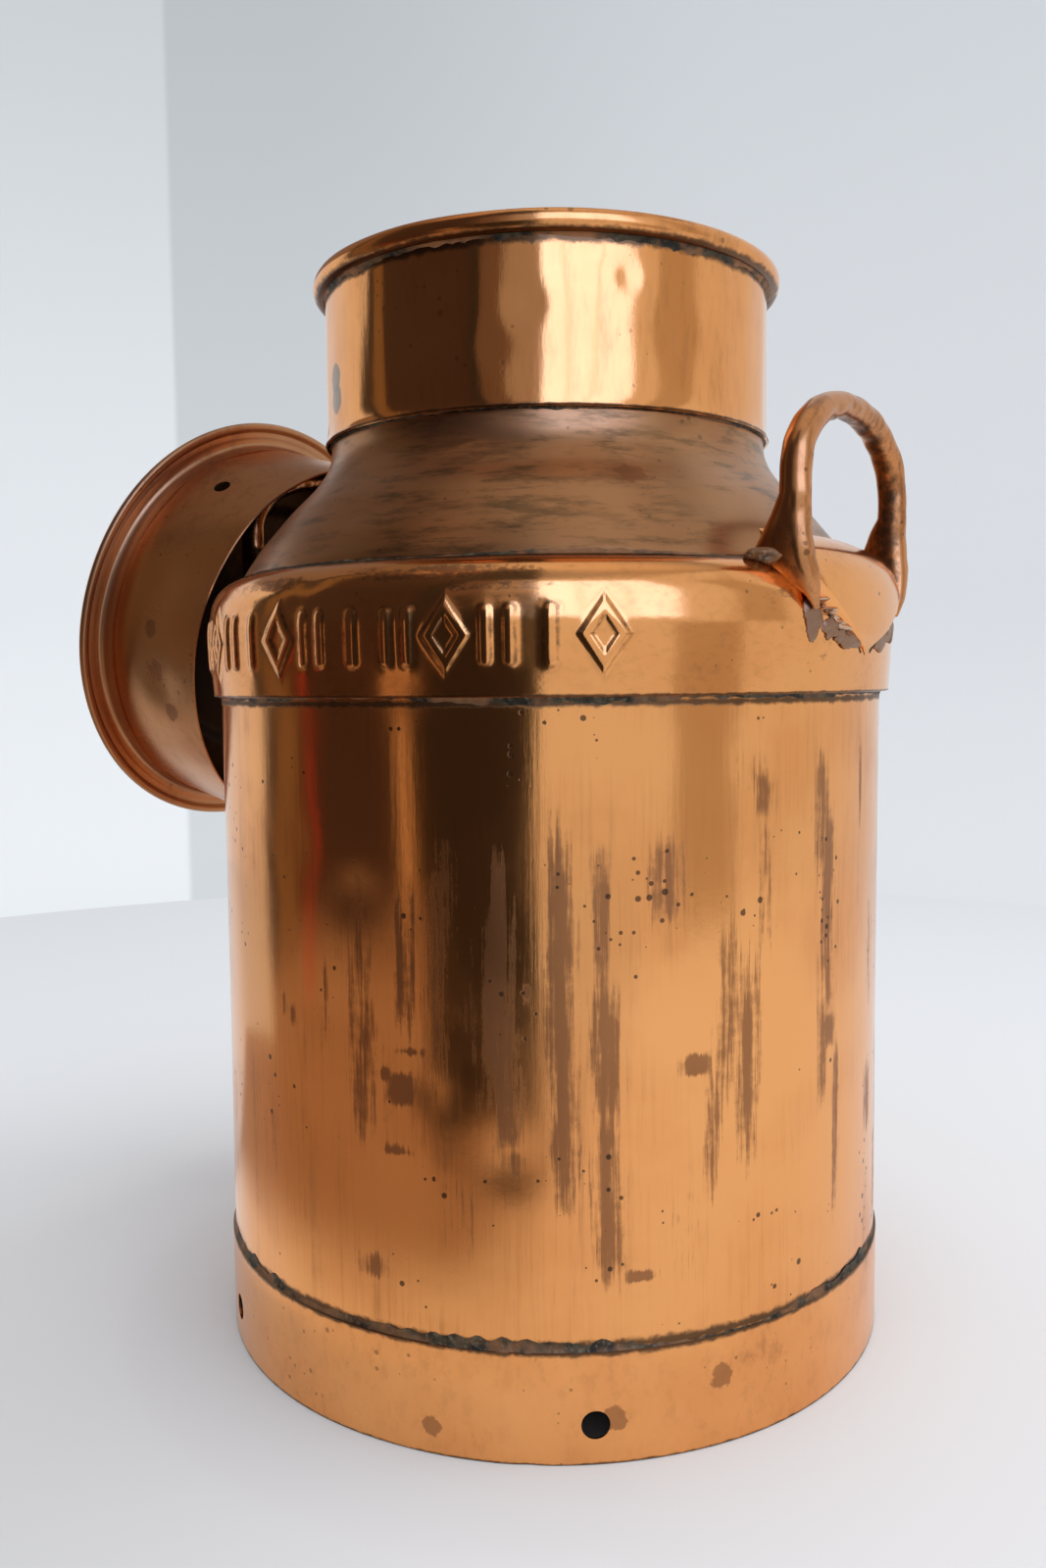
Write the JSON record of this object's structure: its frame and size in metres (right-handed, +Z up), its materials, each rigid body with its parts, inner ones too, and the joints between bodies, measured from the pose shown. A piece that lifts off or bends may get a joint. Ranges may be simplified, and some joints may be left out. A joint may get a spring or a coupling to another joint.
{
  "type": "milk churn",
  "caption": "Lidded copper milk churn with soldered shoulder, rolled rim, side loop handles and a deep lid hung over one handle.",
  "frame": {"origin": "on the floor, under the middle of the outer box of churn and hung lid; the churn's own axis stands 36.7 mm to +X of it", "axes": "+Z up along the churn's axis, the two handles on -X and +X with the lid hung on -X, the marked front of the shoulder band towards -Y"},
  "size_m": [0.4235, 0.341, 0.5162],
  "materials": {
    "copper_body": "hand-polished copper with brown stains and small dark spots",
    "copper_inside": "dull unpolished copper",
    "copper_band": "hand-polished copper",
    "copper_cone": "tarnished copper with brushed strokes",
    "copper_neck": "hand-polished copper",
    "copper_handle": "worn copper bar, dark in its hollows",
    "copper_lid": "satin brown copper",
    "solder": "old grey-green solder",
    "iron_wire": "dark iron wire"
  },
  "bodies": {
    "churn": {"body_shell": "copper_body", "bottom_plate": "copper_inside", "bottom_solder": "solder", "foot_ring": "copper_body", "foot_ring_solder": "solder", "shoulder_band": "copper_band", "band_solder": "solder", "shoulder_cone": "copper_cone", "crease_solder": "solder", "neck_collar": "copper_neck", "neck_solder": "solder", "rim_bead": "copper_neck", "rim_wire": "iron_wire", "rim_solder": "solder", "handle_right": "copper_handle", "handle_left": "copper_handle", "saddle_right": "copper_band", "saddle_left": "copper_band", "saddle_solder_right": "solder", "saddle_solder_left": "solder"},
    "lid": {"lid_skirt": "copper_lid", "lid_flange": "copper_lid", "lid_edge_wire": "iron_wire", "lid_crown": "copper_lid", "lid_crown_solder": "solder", "lid_grip": "copper_handle", "lid_rivet_1": "copper_handle", "lid_rivet_2": "copper_handle", "lid_rivet_3": "copper_handle", "lid_rivet_4": "copper_handle"}
  },
  "joints": [
    {"name": "lid_pull_off", "type": "slide", "parent": "churn", "child": "lid", "axis": [-0.9707, 0, 0.2402], "range_m": [0, 0.15]}
  ]
}
